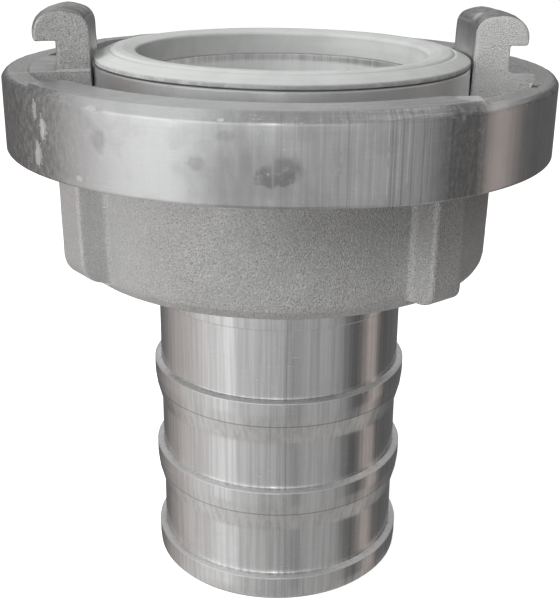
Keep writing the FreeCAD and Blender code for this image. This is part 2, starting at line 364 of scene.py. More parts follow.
def lug_piece(turn, end_a, end_b, rho_a, rho_b, in_a, in_b, neck, hook, crown, seed):
    pts = [(43.42, 114.6, 0.0), (44.7, 113.6, 0.0), (57.5, 113.6, 0.0), (57.5, 125.65, 0.8), (neck, 125.65, 0.75),
           (neck, hook, 0.5), (55.85, hook, 0.75), (55.95, crown - 1.5, 4.6), (50.2, crown, 6.0), (43.98, crown - 1.25, 3.6)]
    Q, G = corners(pts, 1.1, 14.0)
    n = len(Q)
    # inward normals of the profile
    e = np.roll(Q, -1, 0) - Q
    e /= np.linalg.norm(e, axis=1)[:, None]
    area = 0.5 * np.sum(Q[:, 0] * np.roll(Q[:, 1], -1) - np.roll(Q[:, 0], -1) * Q[:, 1])
    ne = np.stack([-e[:, 1], e[:, 0]], 1) * (1 if area > 0 else -1)
    nv = ne + np.roll(ne, 1, 0)
    nv /= np.maximum(np.linalg.norm(nv, axis=1)[:, None], 1e-6)
    size = np.ones(n)
    size = np.where((Q[:, 1] < 132.9) & (Q[:, 0] > 51.0), 0.4, size)
    size = np.where((Q[:, 1] < 126.6), 0.0, size)
    sizes = []
    for inner_size in (in_a, in_b):
        v = np.where((Q[:, 0] < 44.3) & (Q[:, 1] > 118) & (Q[:, 1] < 134.8), inner_size, size)
        v = np.where((Q[:, 0] < 44.3) & (Q[:, 1] <= 118), 0.3, v)
        for _ in range(3):
            v = (np.roll(v, 1) + 2 * v + np.roll(v, -1)) / 4
        sizes.append(v)
    stations = []
    for k in range(6):
        t = math.radians(90 * k / 5)
        stations.append((end_a + math.degrees(rho_a * (1 - math.cos(t)) / 50), rho_a * (1 - math.sin(t)), sizes[0]))
    inner_ = np.linspace(end_a + math.degrees(rho_a / 50), end_b - math.degrees(rho_b / 50), 19)[1:-1]
    stations += [(float(v), 0.0, sizes[0]) for v in inner_]
    for k in range(5, -1, -1):
        t = math.radians(90 * k / 5)
        stations.append((end_b - math.degrees(rho_b * (1 - math.cos(t)) / 50), rho_b * (1 - math.sin(t)), sizes[1]))
    co = []
    for a_, d_, size in stations:
        q = Q + nv * (d_ * size)[:, None]
        t = math.radians(a_)
        x, y, z = q[:, 0] * math.cos(t), q[:, 0] * math.sin(t), q[:, 1]
        up = smooth(118, 124, z) * (z > 118)
        w = up * 0.05 * lumps(x, y, z, 7, seed) + up * 0.03 * lumps(x, y, z, 3, seed + 1)
        x = x + nv[:, 0] * (w + 0.04 * up) * math.cos(t)
        y = y + nv[:, 0] * (w + 0.04 * up) * math.sin(t)
        z = z + nv[:, 1] * (w + 0.04 * up)
        co.append(np.stack([x, y, z], 1))
    nu = len(stations)
    co = np.concatenate(co) * MM
    c, s = math.cos(math.radians(turn)), math.sin(math.radians(turn))
    co = co @ np.array([[c, s, 0], [-s, c, 0], [0, 0, 1]])
    faces = []
    for i in range(nu - 1):
        for j in range(n):
            faces.append((i * n + j, (i + 1) * n + j, (i + 1) * n + (j + 1) % n, i * n + (j + 1) % n))
    tri = tessellate_polygon([[Vector((p[0], p[1], 0)) for p in Q + nv * (rho_a * sizes[0])[:, None]]])
    for t3 in tri:
        faces.append(tuple(t3))
    tri = tessellate_polygon([[Vector((p[0], p[1], 0)) for p in Q + nv * (rho_b * sizes[1])[:, None]]])
    for t3 in tri:
        faces.append(tuple((nu - 1) * n + v for v in t3))
    me = bpy.data.meshes.new("lug")
    me.from_pydata(co.tolist(), [], faces)
    me.update()
    import bmesh
    bm = bmesh.new()
    bm.from_mesh(me)
    bmesh.ops.recalc_face_normals(bm, faces=bm.faces)
    bm.to_mesh(me)
    bm.free()
    return new_object("lug_tmp", me)


lugs = [lug_piece(0.0, lug_a, 18.3, 0.7, 1.6, 1.75, 0.8, 51.85, 131.5, 138.3, 11),
        lug_piece(180.0, lug_a, lug_b, 1.6, 0.7, 0.8, 0.75, 51.0, 131.8, 138.52, 21)]
for o in lugs:
    m = ring.modifiers.new("join", "BOOLEAN")
    m.operation = "UNION"
    m.object = o
    m.solver = "MANIFOLD"
applied(ring)
for o in lugs:
    me = o.data
    bpy.data.objects.remove(o)
    bpy.data.meshes.remove(me)
print("ring faces", len(ring.data.polygons))

# ============================================================ hose tail
tail_prof = [(32.6, 123.6, 0.3), (40.0, 123.6, 0.3), (40.0, 126.5, 0.25), (43.3, 126.5, 0.45), (43.3, 110.5, 0.5),
             (36.94, 110.5, 0.15), (36.94, 99.65, 0.1), (35.79, 99.65, 0.9), (35.79, 96.55, 0.9), (36.94, 96.55, 0.1),
             (36.94, 95.0, 0.5), (33.5, 95.0, 1.5), (31.3, 86.0, 4.0), (30.1, 78.0, 3.0), (30.1, 71.15, 0.05), (29.8, 70.85, 0.05)]
tail_step = [3, 2, 1, 1.6, 3, 3, 1, 1, 1, 1, 2, 2, 2, 2.5, 1, 2.5]
for k, top in ((2, 53.5), (1, 30.2), (0, 6.5)):
    tail_prof += [(29.8, top + 0.45, 0.06), (31.4, top, 0.16), (31.4, top - 3.3, 8.0)]
    tail_step += [0.5, 1.2, 1.0]
    if k:
        tail_prof += [(31.05, top - 6.1, 0.25), (29.8, top - 10.9, 4.0)]
        tail_step += [1.0, 2.2]
    else:
        tail_prof += [(31.2, 1.1, 0.8), (30.2, 0.0, 0.15)]
        tail_step += [0.4, 1.0]
tail_prof += [(27.2, 0.0, 0.1), (26.4, 0.8, 0.3), (26.4, 92.0, 4.0), (32.6, 104.0, 4.0)]
tail_step += [0.6, 6.0, 3.0, 4.0]
P, S = corners(tail_prof, tail_step, 20.0)
az = azimuths(1.0, [])
U, K = np.meshgrid(az, np.arange(len(P)), indexing="ij")
R, Z, PHI = P[K, 0].copy(), P[K, 1].copy(), U.copy()
outside = (R > 28.5) & (Z < 78)
tm = []
for lo in (6.5, 30.2, 53.5):
    for i in range(9):
        tm.append((rng.uniform(0, 360), lo + rng.uniform(-0.3, 0.1), rng.uniform(0.25, 0.8), rng.uniform(0.2, 0.4), rng.uniform(0.03, 0.10), rng.uniform(-20, 20)))
D = dents(R, Z, PHI, tm, 31.4)
R -= np.maximum(D, 0) * outside
tail_me = ring_mesh("tail_body", R, Z, PHI)
tail = new_object("hose_tail_turned", tail_me)

# ============================================================ sealing ring
seal_prof = [(33.25, 123.62, 0.25), (39.95, 123.62, 0.25), (39.95, 126.78, 0.0), (43.15, 126.8, 0.3), (43.15, 127.92, 0.45),
             (39.95, 129.25, 0.7), (39.35, 129.15, 0.2), (38.6, 129.62, 0.7), (36.6, 129.68, 2.0), (33.25, 129.0, 1.0)]
P, S = corners(seal_prof, [2, 1, 1, 0.6, 0.9, 0.5, 0.5, 0.7, 0.8, 0.9], 18.0)
az = azimuths(0.9, [])
U, K = np.meshgrid(az, np.arange(len(P)), indexing="ij")
R, Z, PHI = P[K, 0].copy(), P[K, 1].copy(), U.copy()
X0, Y0 = R * np.cos(np.radians(PHI)), R * np.sin(np.radians(PHI))
soft = smooth(125.5, 127.5, Z)
Z += soft * (0.05 * lumps(X0, Y0, Z * 0, 26, 31) - 0.06)
R += soft * smooth(34.6, 33.3, R) * (0.10 * lumps(X0, Y0, Z * 0, 18, 32) + 0.05)
R -= soft * smooth(42.0, 43.1, R) * (0.05 + 0.05 * lumps(X0, Y0, Z * 0, 20, 33))
nick = dents(R, Z, PHI, [(223.0, 128.8, 0.9, 1.6, 0.3, 0), (249.0, 128.8, 0.6, 1.2, 0.15, 0)], 33.2)
R += np.maximum(nick, 0) * (R < 34.8)
# it sits a hair off centre in its seat
ux, uy = R * np.cos(np.radians(PHI)) + 0.22 * smooth(126.6, 127.4, Z), R * np.sin(np.radians(PHI))
R, PHI = np.hypot(ux, uy), np.degrees(np.arctan2(uy, ux))
seal_me = ring_mesh("seal_body", R, Z, PHI)
seal = new_object("face_seal", seal_me)


# ============================================================ node helpers
class Tree:
    def __init__(self, tree):
        self.t = tree
        self.n = tree.nodes
        self.l = tree.links

    def put(self, sock, v):
        if hasattr(v, "is_output"):
            self.l.new(v, sock)
        elif v is not None:
            try:
                sock.default_value = v
            except TypeError:
                sock.default_value = tuple(v)

    def math(self, op, a, b=None, c=None, clamp=False):
        n = self.n.new("ShaderNodeMath")
        n.operation = op
        n.use_clamp = clamp
        self.put(n.inputs[0], a)
        if b is not None:
            self.put(n.inputs[1], b)
        if c is not None:
            self.put(n.inputs[2], c)
        return n.outputs[0]

    def vmath(self, op, a, b=None):
        n = self.n.new("ShaderNodeVectorMath")
        n.operation = op
        self.put(n.inputs[0], a)
        if b is not None:
            self.put(n.inputs[1], b)
        return n.outputs[0]

    def scaled(self, v, s):
        return self.vmath("MULTIPLY", v, s)

    def xyz(self, v):
        n = self.n.new("ShaderNodeSeparateXYZ")
        self.put(n.inputs[0], v)
        return n.outputs

    def comb(self, x, y, z):
        n = self.n.new("ShaderNodeCombineXYZ")
        for s, v in zip(n.inputs, (x, y, z)):
            self.put(s, v)
        return n.outputs[0]

    def noise(self, v, scale=1.0, detail=2.0, rough=0.5, dist=0.0):
        n = self.n.new("ShaderNodeTexNoise")
        self.put(n.inputs["Vector"], v)
        n.inputs["Scale"].default_value = scale
        n.inputs["Detail"].default_value = detail
        n.inputs["Roughness"].default_value = rough
        n.inputs["Distortion"].default_value = dist
        return n.outputs[0]

    def voronoi(self, v, scale=1.0, feature="F1", smoothness=None):
        n = self.n.new("ShaderNodeTexVoronoi")
        n.feature = feature
        self.put(n.inputs["Vector"], v)
        n.inputs["Scale"].default_value = scale
        if smoothness is not None and "Smoothness" in n.inputs:
            n.inputs["Smoothness"].default_value = smoothness
        return n.outputs[0]

    def ramp(self, f, stops, interp="LINEAR"):
        n = self.n.new("ShaderNodeValToRGB")
        self.put(n.inputs[0], f)
        cr = n.color_ramp
        cr.interpolation = interp
        while len(cr.elements) < len(stops):
            cr.elements.new(0.5)
        for e, (p, c) in zip(cr.elements, stops):
            e.position = p
        for e, (p, c) in zip(cr.elements, stops):
            e.position = p
            c = (c, c, c) if isinstance(c, (int, float)) else c
            e.color = (*c, 1.0)
        return n.outputs[0]

    def range(self, v, a, b, c=0.0, d=1.0, kind="SMOOTHSTEP"):
        n = self.n.new("ShaderNodeMapRange")
        n.interpolation_type = kind
        n.clamp = True
        self.put(n.inputs["Value"], v)
        n.inputs["From Min"].default_value = a
        n.inputs["From Max"].default_value = b
        n.inputs["To Min"].default_value = c
        n.inputs["To Max"].default_value = d
        return n.outputs[0]

    def mix(self, f, a, b, blend="MIX"):
        n = self.n.new("ShaderNodeMix")
        n.data_type = "RGBA"
        n.blend_type = blend
        n.clamp_factor = True
        self.put(n.inputs[0], f)
        for s, v in ((n.inputs[6], a), (n.inputs[7], b)):
            if isinstance(v, tuple) and len(v) == 3:
                v = (*v, 1.0)
            self.put(s, v)
        return n.outputs[2]

    def bump(self, h, strength, dist, normal=None):
        n = self.n.new("ShaderNodeBump")
        n.inputs["Strength"].default_value = strength
        n.inputs["Distance"].default_value = dist
        self.put(n.inputs["Height"], h)
        if normal is not None:
            self.put(n.inputs["Normal"], normal)
        return n.outputs[0]


def material(name):
    m = bpy.data.materials.new(name)
    m.use_nodes = True
    t = Tree(m.node_tree)
    t.n.clear()
    out = t.n.new("ShaderNodeOutputMaterial")
    b = t.n.new("ShaderNodeBsdfPrincipled")
    t.l.new(b.outputs[0], out.inputs[0])
    tc = t.n.new("ShaderNodeTexCoord")
    pos = t.scaled(tc.outputs["Object"], (1000.0, 1000.0, 1000.0))
    return m, t, b, pos


def spot(t, pos, azimuth, radius, z, hw, hh, wob, seed, soft=0.35):
    """Mask of a ragged spot on a round surface, centred at an azimuth and z."""
    a_ = math.radians(azimuth)
    c = (radius * math.cos(a_), radius * math.sin(a_), z)
    d = t.vmath("SUBTRACT", pos, c)
    k = 1.0 / hw
    d = t.scaled(d, (k, k, 1.0 / hh))
    n = t.n.new("ShaderNodeVectorMath")
    n.operation = "LENGTH"
    t.l.new(d, n.inputs[0])
    w = t.noise(t.vmath("ADD", pos, (seed * 7.3, 1.7, 3.1)), 1.4 / max(0.6, min(hw, hh)), 3.0, 0.6)
    q = t.math("ADD", n.outputs["Value"], t.math("MULTIPLY", t.math("SUBTRACT", w, 0.5), wob))
    return t.range(q, 1.0 + soft * 0.5, 1.0 - soft * 0.5)


def needles(t, f, marks_):
    """Fine lines at azimuths: (azimuth, half width in degrees, strength)."""
    out = None
    for a_, w_, v_ in marks_:
        k = t.math("COMPARE", f, around(a_), w_ / 360.0)
        k = t.math("MULTIPLY", k, v_)
        out = k if out is None else t.math("MAXIMUM", out, k)
    return out


# ============================================================ materials
def angle(t, x, y):
    """Azimuth about the axis as 0..1, 0.5 towards -Y."""
    a_ = t.math("DIVIDE", t.math("ARCTAN2", x, t.math("MULTIPLY", y, -1.0)), 2 * math.pi)
    return t.math("ADD", a_, 0.5)


def around(deg):
    """The same measure for an azimuth counted from +X."""
    return ((deg - 270.0 + 180.0) % 360.0) / 360.0


def cast_material():
    m, t, b, pos = material("sand_cast_aluminium")
    x, y, z = t.xyz(pos)
    fine = t.noise(pos, 3.1, 2.0, 0.55)
    grit = t.noise(t.vmath("ADD", pos, (40.0, 11.0, 5.0)), 6.0, 1.0, 0.5)
    mid = t.noise(pos, 0.75, 2.0, 0.5)
    wide = t.noise(pos, 0.11, 3.0, 0.55)
    h = t.math("ADD", t.math("MULTIPLY", fine, 1.0), t.math("MULTIPLY", grit, 0.35))
    h = t.math("ADD", h, t.math("MULTIPLY", mid, 0.3))
    base = t.ramp(t.math("ADD", t.math("MULTIPLY", fine, 0.6), t.math("MULTIPLY", grit, 0.4)),
                  [(0.36, (0.47, 0.47, 0.465)), (0.48, (0.70, 0.70, 0.695)), (0.60, (0.93, 0.93, 0.92))])
    base = t.mix(t.range(wide, 0.35, 0.7, 0.0, 0.22), base, (0.55, 0.545, 0.54))
    # painted light: the near end face of one lug and a patch on the rim top beside it are painted paler; the rim tops
    # are painted greyer, as shade
    cut = t.math("ABSOLUTE", t.math("ADD", t.math("MULTIPLY", x, 0.15643), t.math("MULTIPLY", y, 0.98769)))
    painted_near_face_light = t.math("MULTIPLY", t.range(cut, 1.1, 0.6), t.math("MULTIPLY", t.range(z, 113.0, 114.0), t.range(x, 30.0, 36.0)))
    r = t.math("SQRT", t.math("ADD", t.math("MULTIPLY", x, x), t.math("MULTIPLY", y, y)))
    painted_near_face_light = t.math("MULTIPLY", painted_near_face_light, t.range(r, 57.75, 57.5))
    painted_near_face_light = t.math("MAXIMUM", painted_near_face_light, spot(t, pos, 309.6, 58.4, 126.0, 3.3, 1.6, 0.5, 31, 0.3))
    base = t.mix(t.math("MULTIPLY", painted_near_face_light, 0.88), base, (1.0, 1.0, 0.99))
    # painted shade: the skirt darker in front, just under the rim
    painted_skirt_shade = t.math("MULTIPLY", t.math("MULTIPLY", t.range(z, 86.0, 102.0), t.range(z, 109.5, 108.0)), t.math("MULTIPLY", t.range(x, -16.0, 6.0), t.range(y, 0.0, -20.0)))
    base = t.mix(t.math("MULTIPLY", painted_skirt_shade, 0.42), base, (0.26, 0.255, 0.25))
    # painted light: the lower skirt paler towards -X, its lit side
    painted_left_light = t.math("MULTIPLY", t.range(x, -18.0, -36.0), t.range(z, 110.0, 108.0))
    base = t.mix(t.math("MULTIPLY", painted_left_light, 0.45), base, (1.0, 1.0, 1.0))
    # painted shade: the cast rim tops beside the lugs darker, more so towards +X
    rimtop = t.math("MULTIPLY", t.math("MULTIPLY", t.range(z, 124.6, 125.0), t.range(z, 126.2, 126.1)), t.range(r, 57.5, 57.8))
    shade_ = t.range(x, -30.0, 40.0, 0.12, 0.22)
    base = t.mix(t.math("MULTIPLY", t.math("MULTIPLY", rimtop, shade_), t.math("SUBTRACT", 1.0, painted_near_face_light)), base, (0.22, 0.21, 0.205))
    r = t.math("SQRT", t.math("ADD", t.math("MULTIPLY", x, x), t.math("MULTIPLY", y, y)))
    # painted shade in the cast pockets; burrs left at the foot of the lug at -X, painted white as their highlight
    painted_pocket_shade = t.math("MULTIPLY", t.math("MULTIPLY", t.range(z, 125.15, 124.75), t.range(z, 122.7, 123.0)), t.range(r, 57.15, 57.3))
    base = t.mix(t.math("MULTIPLY", painted_pocket_shade, 0.85), base, (0.10, 0.095, 0.09))
    cut2 = t.math("ABSOLUTE", t.math("ADD", t.math("MULTIPLY", x, 0.2924), t.math("MULTIPLY", y, -0.9563)))
    burr_highlight = t.math("MULTIPLY", t.range(cut2, 0.42, 0.28), t.math("MULTIPLY", t.range(x, -40.0, -42.0),
                  t.math("MULTIPLY", t.range(z, 125.25, 125.4), t.range(z, 126.0, 125.85))))
    # the burr edge painted white as its highlight
    base = t.mix(t.math("MULTIPLY", burr_highlight, 0.9), base, (1.0, 1.0, 1.0))
    t.put(b.inputs["Base Color"], base)
    b.inputs["Metallic"].default_value = 1.0
    t.put(b.inputs["Roughness"], t.math("ADD", t.math("MULTIPLY", mid, 0.12), 0.44))
    t.put(b.inputs["Normal"], t.bump(h, 1.0, 0.00029))
    return m


def skin_material():
    """Smooth dark casting skin on the backs of the lugs."""
    m, t, b, pos = material("dark_casting_skin")
    x, y, z = t.xyz(pos)
    n = t.noise(pos, 0.45, 4.0, 0.65, 0.5)
    f = t.noise(pos, 2.2, 3.0, 0.6)
    base = t.mix(t.range(n, 0.36, 0.62), (0.30, 0.295, 0.29), (0.56, 0.555, 0.55))
    left = t.range(x, -47.5, -52.0)                     # paler outer half of the lug at -X
    base = t.mix(t.math("MULTIPLY", left, 0.75), base, (0.74, 0.74, 0.73))
    dab = spot(t, pos, 187.0, 46.5, 137.2, 3.2, 2.4, 1.1, 21, 0.9)
    base = t.mix(t.math("MULTIPLY", dab, 0.6), base, (0.16, 0.155, 0.15))
    dab2 = spot(t, pos, 4.0, 45.4, 136.8, 1.6, 1.3, 1.2, 22, 0.7)
    base = t.mix(t.math("MULTIPLY", dab2, 0.8), base, (0.95, 0.95, 0.95))
    base = t.mix(t.range(f, 0.62, 0.72, 0.0, 0.6), base, (0.75, 0.75, 0.74))
    t.put(b.inputs["Base Color"], base)
    b.inputs["Metallic"].default_value = 1.0
    t.put(b.inputs["Roughness"], t.math("ADD", 0.30, t.math("MULTIPLY", f, 0.18)))
    t.put(b.inputs["Normal"], t.bump(t.math("ADD", n, t.math("MULTIPLY", f, 0.4)), 0.6, 0.00035))
    return m


def machined_material():
    """Rim, lip, track and bearing: turned, then knocked about in use."""
    m, t, b, pos = material("machined_worn_aluminium")
    x, y, z = t.xyz(pos)
    f = angle(t, x, y)
    r = t.math("SQRT", t.math("ADD", t.math("MULTIPLY", x, x), t.math("MULTIPLY", y, y)))
    wall = t.range(r, 61.0, 61.8)
    lines = t.noise(t.scaled(pos, (0.02, 0.02, 5.0)), 1.0, 2.0, 0.5)
    streak = t.noise(t.scaled(pos, (1.15, 1.15, 0.045)), 1.0, 3.0, 0.62)
    streak2 = t.noise(t.scaled(t.vmath("ADD", pos, (31.0, 7.0, 0.0)), (3.0, 3.0, 0.09)), 1.0, 1.0, 0.5)
    flat = t.noise(t.scaled(pos, (0.12, 0.12, 1.9)), 1.0, 4.0, 0.7)
    blot = t.noise(pos, 0.13, 4.0, 0.6, 0.6)
    blot2 = t.noise(t.vmath("ADD", pos, (50.0, 0.0, 20.0)), 0.35, 3.0, 0.6)
    side = t.range(x, -12.0, 14.0)          # more drag marks towards +X
    s1 = t.range(streak, 0.40, 0.66)
    s2 = t.range(streak2, 0.62, 0.74)
    amt = t.math("ADD", t.math("MULTIPLY", side, 0.78), 0.15)
    base = t.mix(t.math("MULTIPLY", s1, t.math("MULTIPLY", amt, 0.75)), (0.80, 0.805, 0.81), (0.66, 0.655, 0.66))
    base = t.mix(t.math("MULTIPLY", s2, t.math("MULTIPLY", amt, 0.7)), base, (0.96, 0.96, 0.96))
    base = t.mix(t.range(flat, 0.52, 0.70, 0.0, 0.35), base, (0.92, 0.92, 0.92))
    base = t.mix(t.range(blot, 0.47, 0.66, 0.0, 0.30), base, (0.58, 0.58, 0.585))
    base = t.mix(t.range(blot2, 0.60, 0.70, 0.0, 0.30), base, (0.90, 0.90, 0.90))
    # single long drag marks, bright and dark
    drag = needles(t, f, [(262.62, 0.11, 0.35), (265.43, 0.11, 0.35), (272.30, 0.11, 0.40), (274.61, 0.11, 0.42), (276.35, 0.11, 0.50), (278.43, 0.11, 0.50), (279.77, 0.11, 0.55), (282.50, 0.11, 0.60), (284.06, 0.11, 0.50), (285.47, 0.11, 0.65), (287.97, 0.11, 1.00), (289.85, 0.11, 1.00), (291.67, 0.11, 0.90), (295.96, 0.11, 0.80), (298.02, 0.11, 0.50), (299.83, 0.11, 0.75), (309.81, 0.17, 0.70)])
    nick = needles(t, f, [(269.85, 0.15, 0.18), (280.97, 0.15, 0.20), (288.62, 0.15, 0.26), (289.25, 0.15, 0.24), (290.63, 0.15, 0.28), (292.43, 0.15, 0.22), (294.57, 0.15, 0.20), (300.59, 0.15, 0.24), (308.21, 0.24, 0.22)])
    brk = t.range(t.noise(t.scaled(pos, (0.9, 0.9, 0.35)), 1.0, 2.0, 0.6), 0.36, 0.5)
    drag = t.math("MULTIPLY", t.math("MULTIPLY", drag, brk), t.math("MULTIPLY", wall, t.range(z, 108.8, 111.0)))
    nick = t.math("MULTIPLY", nick, wall)
    base = t.mix(nick, base, (0.1, 0.1, 0.1))
    base = t.mix(t.math("MULTIPLY", drag, 0.85), base, (1.0, 1.0, 1.0))
    smear = t.noise(t.comb(t.math("MULTIPLY", t.math("SUBTRACT", r, z), 1.5), t.math("MULTIPLY", f, 26.0), 0.0), 1.0, 4.0, 0.65, 0.2)
    upper = t.math("MULTIPLY", t.range(z, 123.4, 124.4), t.range(r, 52.6, 53.4))
    sm = t.math("MULTIPLY", upper, t.range(x, 4.0, 26.0, 0.12, 1.0))
    base = t.mix(t.math("MULTIPLY", sm, t.range(smear, 0.36, 0.60, 0.0, 0.50)), base, (0.30, 0.295, 0.29))
    base = t.mix(t.math("MULTIPLY", sm, t.range(smear, 0.60, 0.68, 0.0, 0.6)), base, (0.92, 0.92, 0.92))
    lit = spot(t, pos, 309.6, 58.4, 126.0, 3.6, 1.6, 0.5, 31, 0.3)
    base = t.mix(lit, base, (0.97, 0.97, 0.97))
    # stains, in front
    st = spot(t, pos, 268.7, 63.0, 114.6, 3.9, 2.1, 0.9, 1, 0.30)
    st0 = spot(t, pos, 270.7, 63.0, 115.6, 2.9, 2.3, 0.8, 12, 0.8)
    st2 = spot(t, pos, 263.5, 63.0, 114.0, 9.5, 5.0, 1.3, 2, 1.1)
    st3 = spot(t, pos, 255.7, 63.0, 116.4, 1.6, 1.4, 1.4, 3, 0.6)
    st4 = spot(t, pos, 260.7, 63.0, 121.7, 1.8, 0.9, 1.4, 9, 0.8)
    st5 = spot(t, pos, 236.8, 63.0, 118.6, 1.6, 1.9, 1.5, 10, 0.9)
    stain = t.math("MAXIMUM", t.math("MULTIPLY", st, t.range(z, 117.4, 115.2)), t.math("MULTIPLY", st0, 0.8))
    stain = t.math("MULTIPLY", stain, t.range(t.noise(t.vmath("ADD", pos, (3.0, 9.0, 4.0)), 0.9, 3.0, 0.6), 0.30, 0.52, 0.55, 1.0))
    slit = needles(t, f, [(268.52, 0.19, 0.55), (266.18, 0.22, 0.30)])
    stain = t.math("MULTIPLY", stain, t.math("SUBTRACT", 1.0, slit))
    base = t.mix(t.math("MULTIPLY", st2, 0.34), base, (0.33, 0.33, 0.33))
    base = t.mix(t.math("MULTIPLY", stain, 0.80), base, (0.23, 0.225, 0.225))
    base = t.mix(t.math("MULTIPLY", t.math("MAXIMUM", st3, t.math("MAXIMUM", st4, st5)), 0.34), base, (0.34, 0.335, 0.33))
    # grimy end at -X and mottled patch at +X
    grime_and_shadow = t.ramp(f, [(0.0, 0.14), (around(150.0), 0.16), (around(176.0), 0.55), (around(205.6), 0.8), (around(213.0), 0.88), (around(223.6), 0.78), (around(229.4), 0.3), (around(235.0), 0.12), (around(241.5), 0.0), (around(295.8), 0.0),
                       (around(298.6), 0.30), (around(300.7), 0.72), (around(307.2), 0.78), (around(309.3), 0.2), (around(311.0), 0.0), (around(326.6), 0.0), (around(336.3), 0.15), (1.0, 0.14)])
    gn = t.noise(t.scaled(pos, (0.9, 0.9, 0.6)), 1.0, 5.0, 0.7, 0.2)
    grime_and_shadow = t.math("MULTIPLY", t.math("MULTIPLY", grime_and_shadow, wall), t.range(gn, 0.30, 0.62, 0.35, 1.0))
    base = t.mix(t.math("MULTIPLY", grime_and_shadow, 0.85), base, (0.165, 0.185, 0.19))
    fresh = t.math("MULTIPLY", wall, t.ramp(f, [(0.0, 0.0), (around(307.2), 0.0), (around(310.6), 0.85), (around(314.2), 0.7), (around(321.1), 0.2), (around(328.2), 0.0), (1.0, 0.0)]))
    base = t.mix(fresh, base, (0.92, 0.93, 0.935))
    # a broad darker zone in front, on the rim wall
    front_dark_band = t.ramp(f, [(0.0, 0.0), (around(254.3), 0.0), (around(260.1), 0.40), (around(264.8), 0.52), (around(274.3), 0.36), (around(278.8), 0.18), (around(285.1), 0.06), (around(289.4), 0.0), (1.0, 0.0)])
    front_dark_band = t.math("MULTIPLY", t.math("MULTIPLY", front_dark_band, wall), t.range(t.noise(t.scaled(pos, (0.5, 0.5, 0.09)), 1.0, 3.0, 0.6), 0.30, 0.66, 0.72, 1.15))
    base = t.mix(front_dark_band, base, (0.30, 0.30, 0.305))
    # bright chips and scuffs: along the upper shoulder, and the gouges at the left
    edge = t.math("MULTIPLY", t.math("MULTIPLY", t.range(z, 123.3, 124.3), t.range(z, 126.15, 125.6)), t.range(r, 61.0, 61.6))
    chip = t.math("MULTIPLY", t.range(t.noise(t.scaled(pos, (0.42, 0.42, 1.5)), 1.0, 4.0, 0.72, 0.8), 0.585, 0.66), edge)
    g1 = spot(t, pos, 219.2, 63.0, 121.6, 0.8, 1.9, 2.4, 4, 0.2)
    g2 = spot(t, pos, 221.9, 63.0, 118.4, 1.2, 2.4, 2.4, 5, 0.2)
    g3 = spot(t, pos, 219.6, 63.0, 113.0, 1.3, 2.9, 2.4, 6, 0.2)
    g4 = spot(t, pos, 231.9, 63.0, 110.4, 0.9, 0.55, 1.2, 7, 0.3)
    g5 = spot(t, pos, 235.4, 62.3, 124.3, 1.5, 0.5, 1.2, 8, 0.3)
    g6 = spot(t, pos, 259.9, 62.3, 124.4, 0.8, 0.4, 1.2, 11, 0.3)
    g = t.math("MAXIMUM", t.math("MAXIMUM", g1, g2), t.math("MAXIMUM", t.math("MAXIMUM", g3, g6), t.math("MAXIMUM", g4, g5)))
    pits = t.math("MULTIPLY", wall, t.range(t.noise(t.scaled(pos, (1.6, 1.6, 1.1)), 1.0, 2.0, 0.5), 0.74, 0.775))
    g = t.math("MAXIMUM", g, t.math("MAXIMUM", t.math("MULTIPLY", chip, 0.7), t.math("MULTIPLY", pits, 0.8)))
    base = t.mix(t.math("MULTIPLY", g, 0.85), base, (0.97, 0.97, 0.97))
    t.put(b.inputs["Base Color"], base)
    b.inputs["Metallic"].default_value = 1.0
    rough = t.math("ADD", 0.24, t.math("MULTIPLY", blot, 0.12))
    rough = t.math("ADD", rough, t.math("MULTIPLY", g, 0.32))
    rough = t.math("ADD", rough, t.math("MULTIPLY", t.math("ADD", t.math("MULTIPLY", grime_and_shadow, 0.18), t.math("MULTIPLY", stain, 0.12)), 1.0))
    t.put(b.inputs["Roughness"], rough)
    b.inputs["Anisotropic"].default_value = 0.6
    b.inputs["Anisotropic Rotation"].default_value = 0.25
    tan = t.n.new("ShaderNodeTangent")
    tan.direction_type = "RADIAL"
    tan.axis = "Z"
    t.l.new(tan.outputs[0], b.inputs["Tangent"])
    h = t.math("ADD", t.math("MULTIPLY", lines, 0.25), t.math("MULTIPLY", streak2, 0.10))
    h = t.math("SUBTRACT", h, t.math("MULTIPLY", g, 0.9))
    t.put(b.inputs["Normal"], t.bump(h, 0.35, 0.00010))
    return m


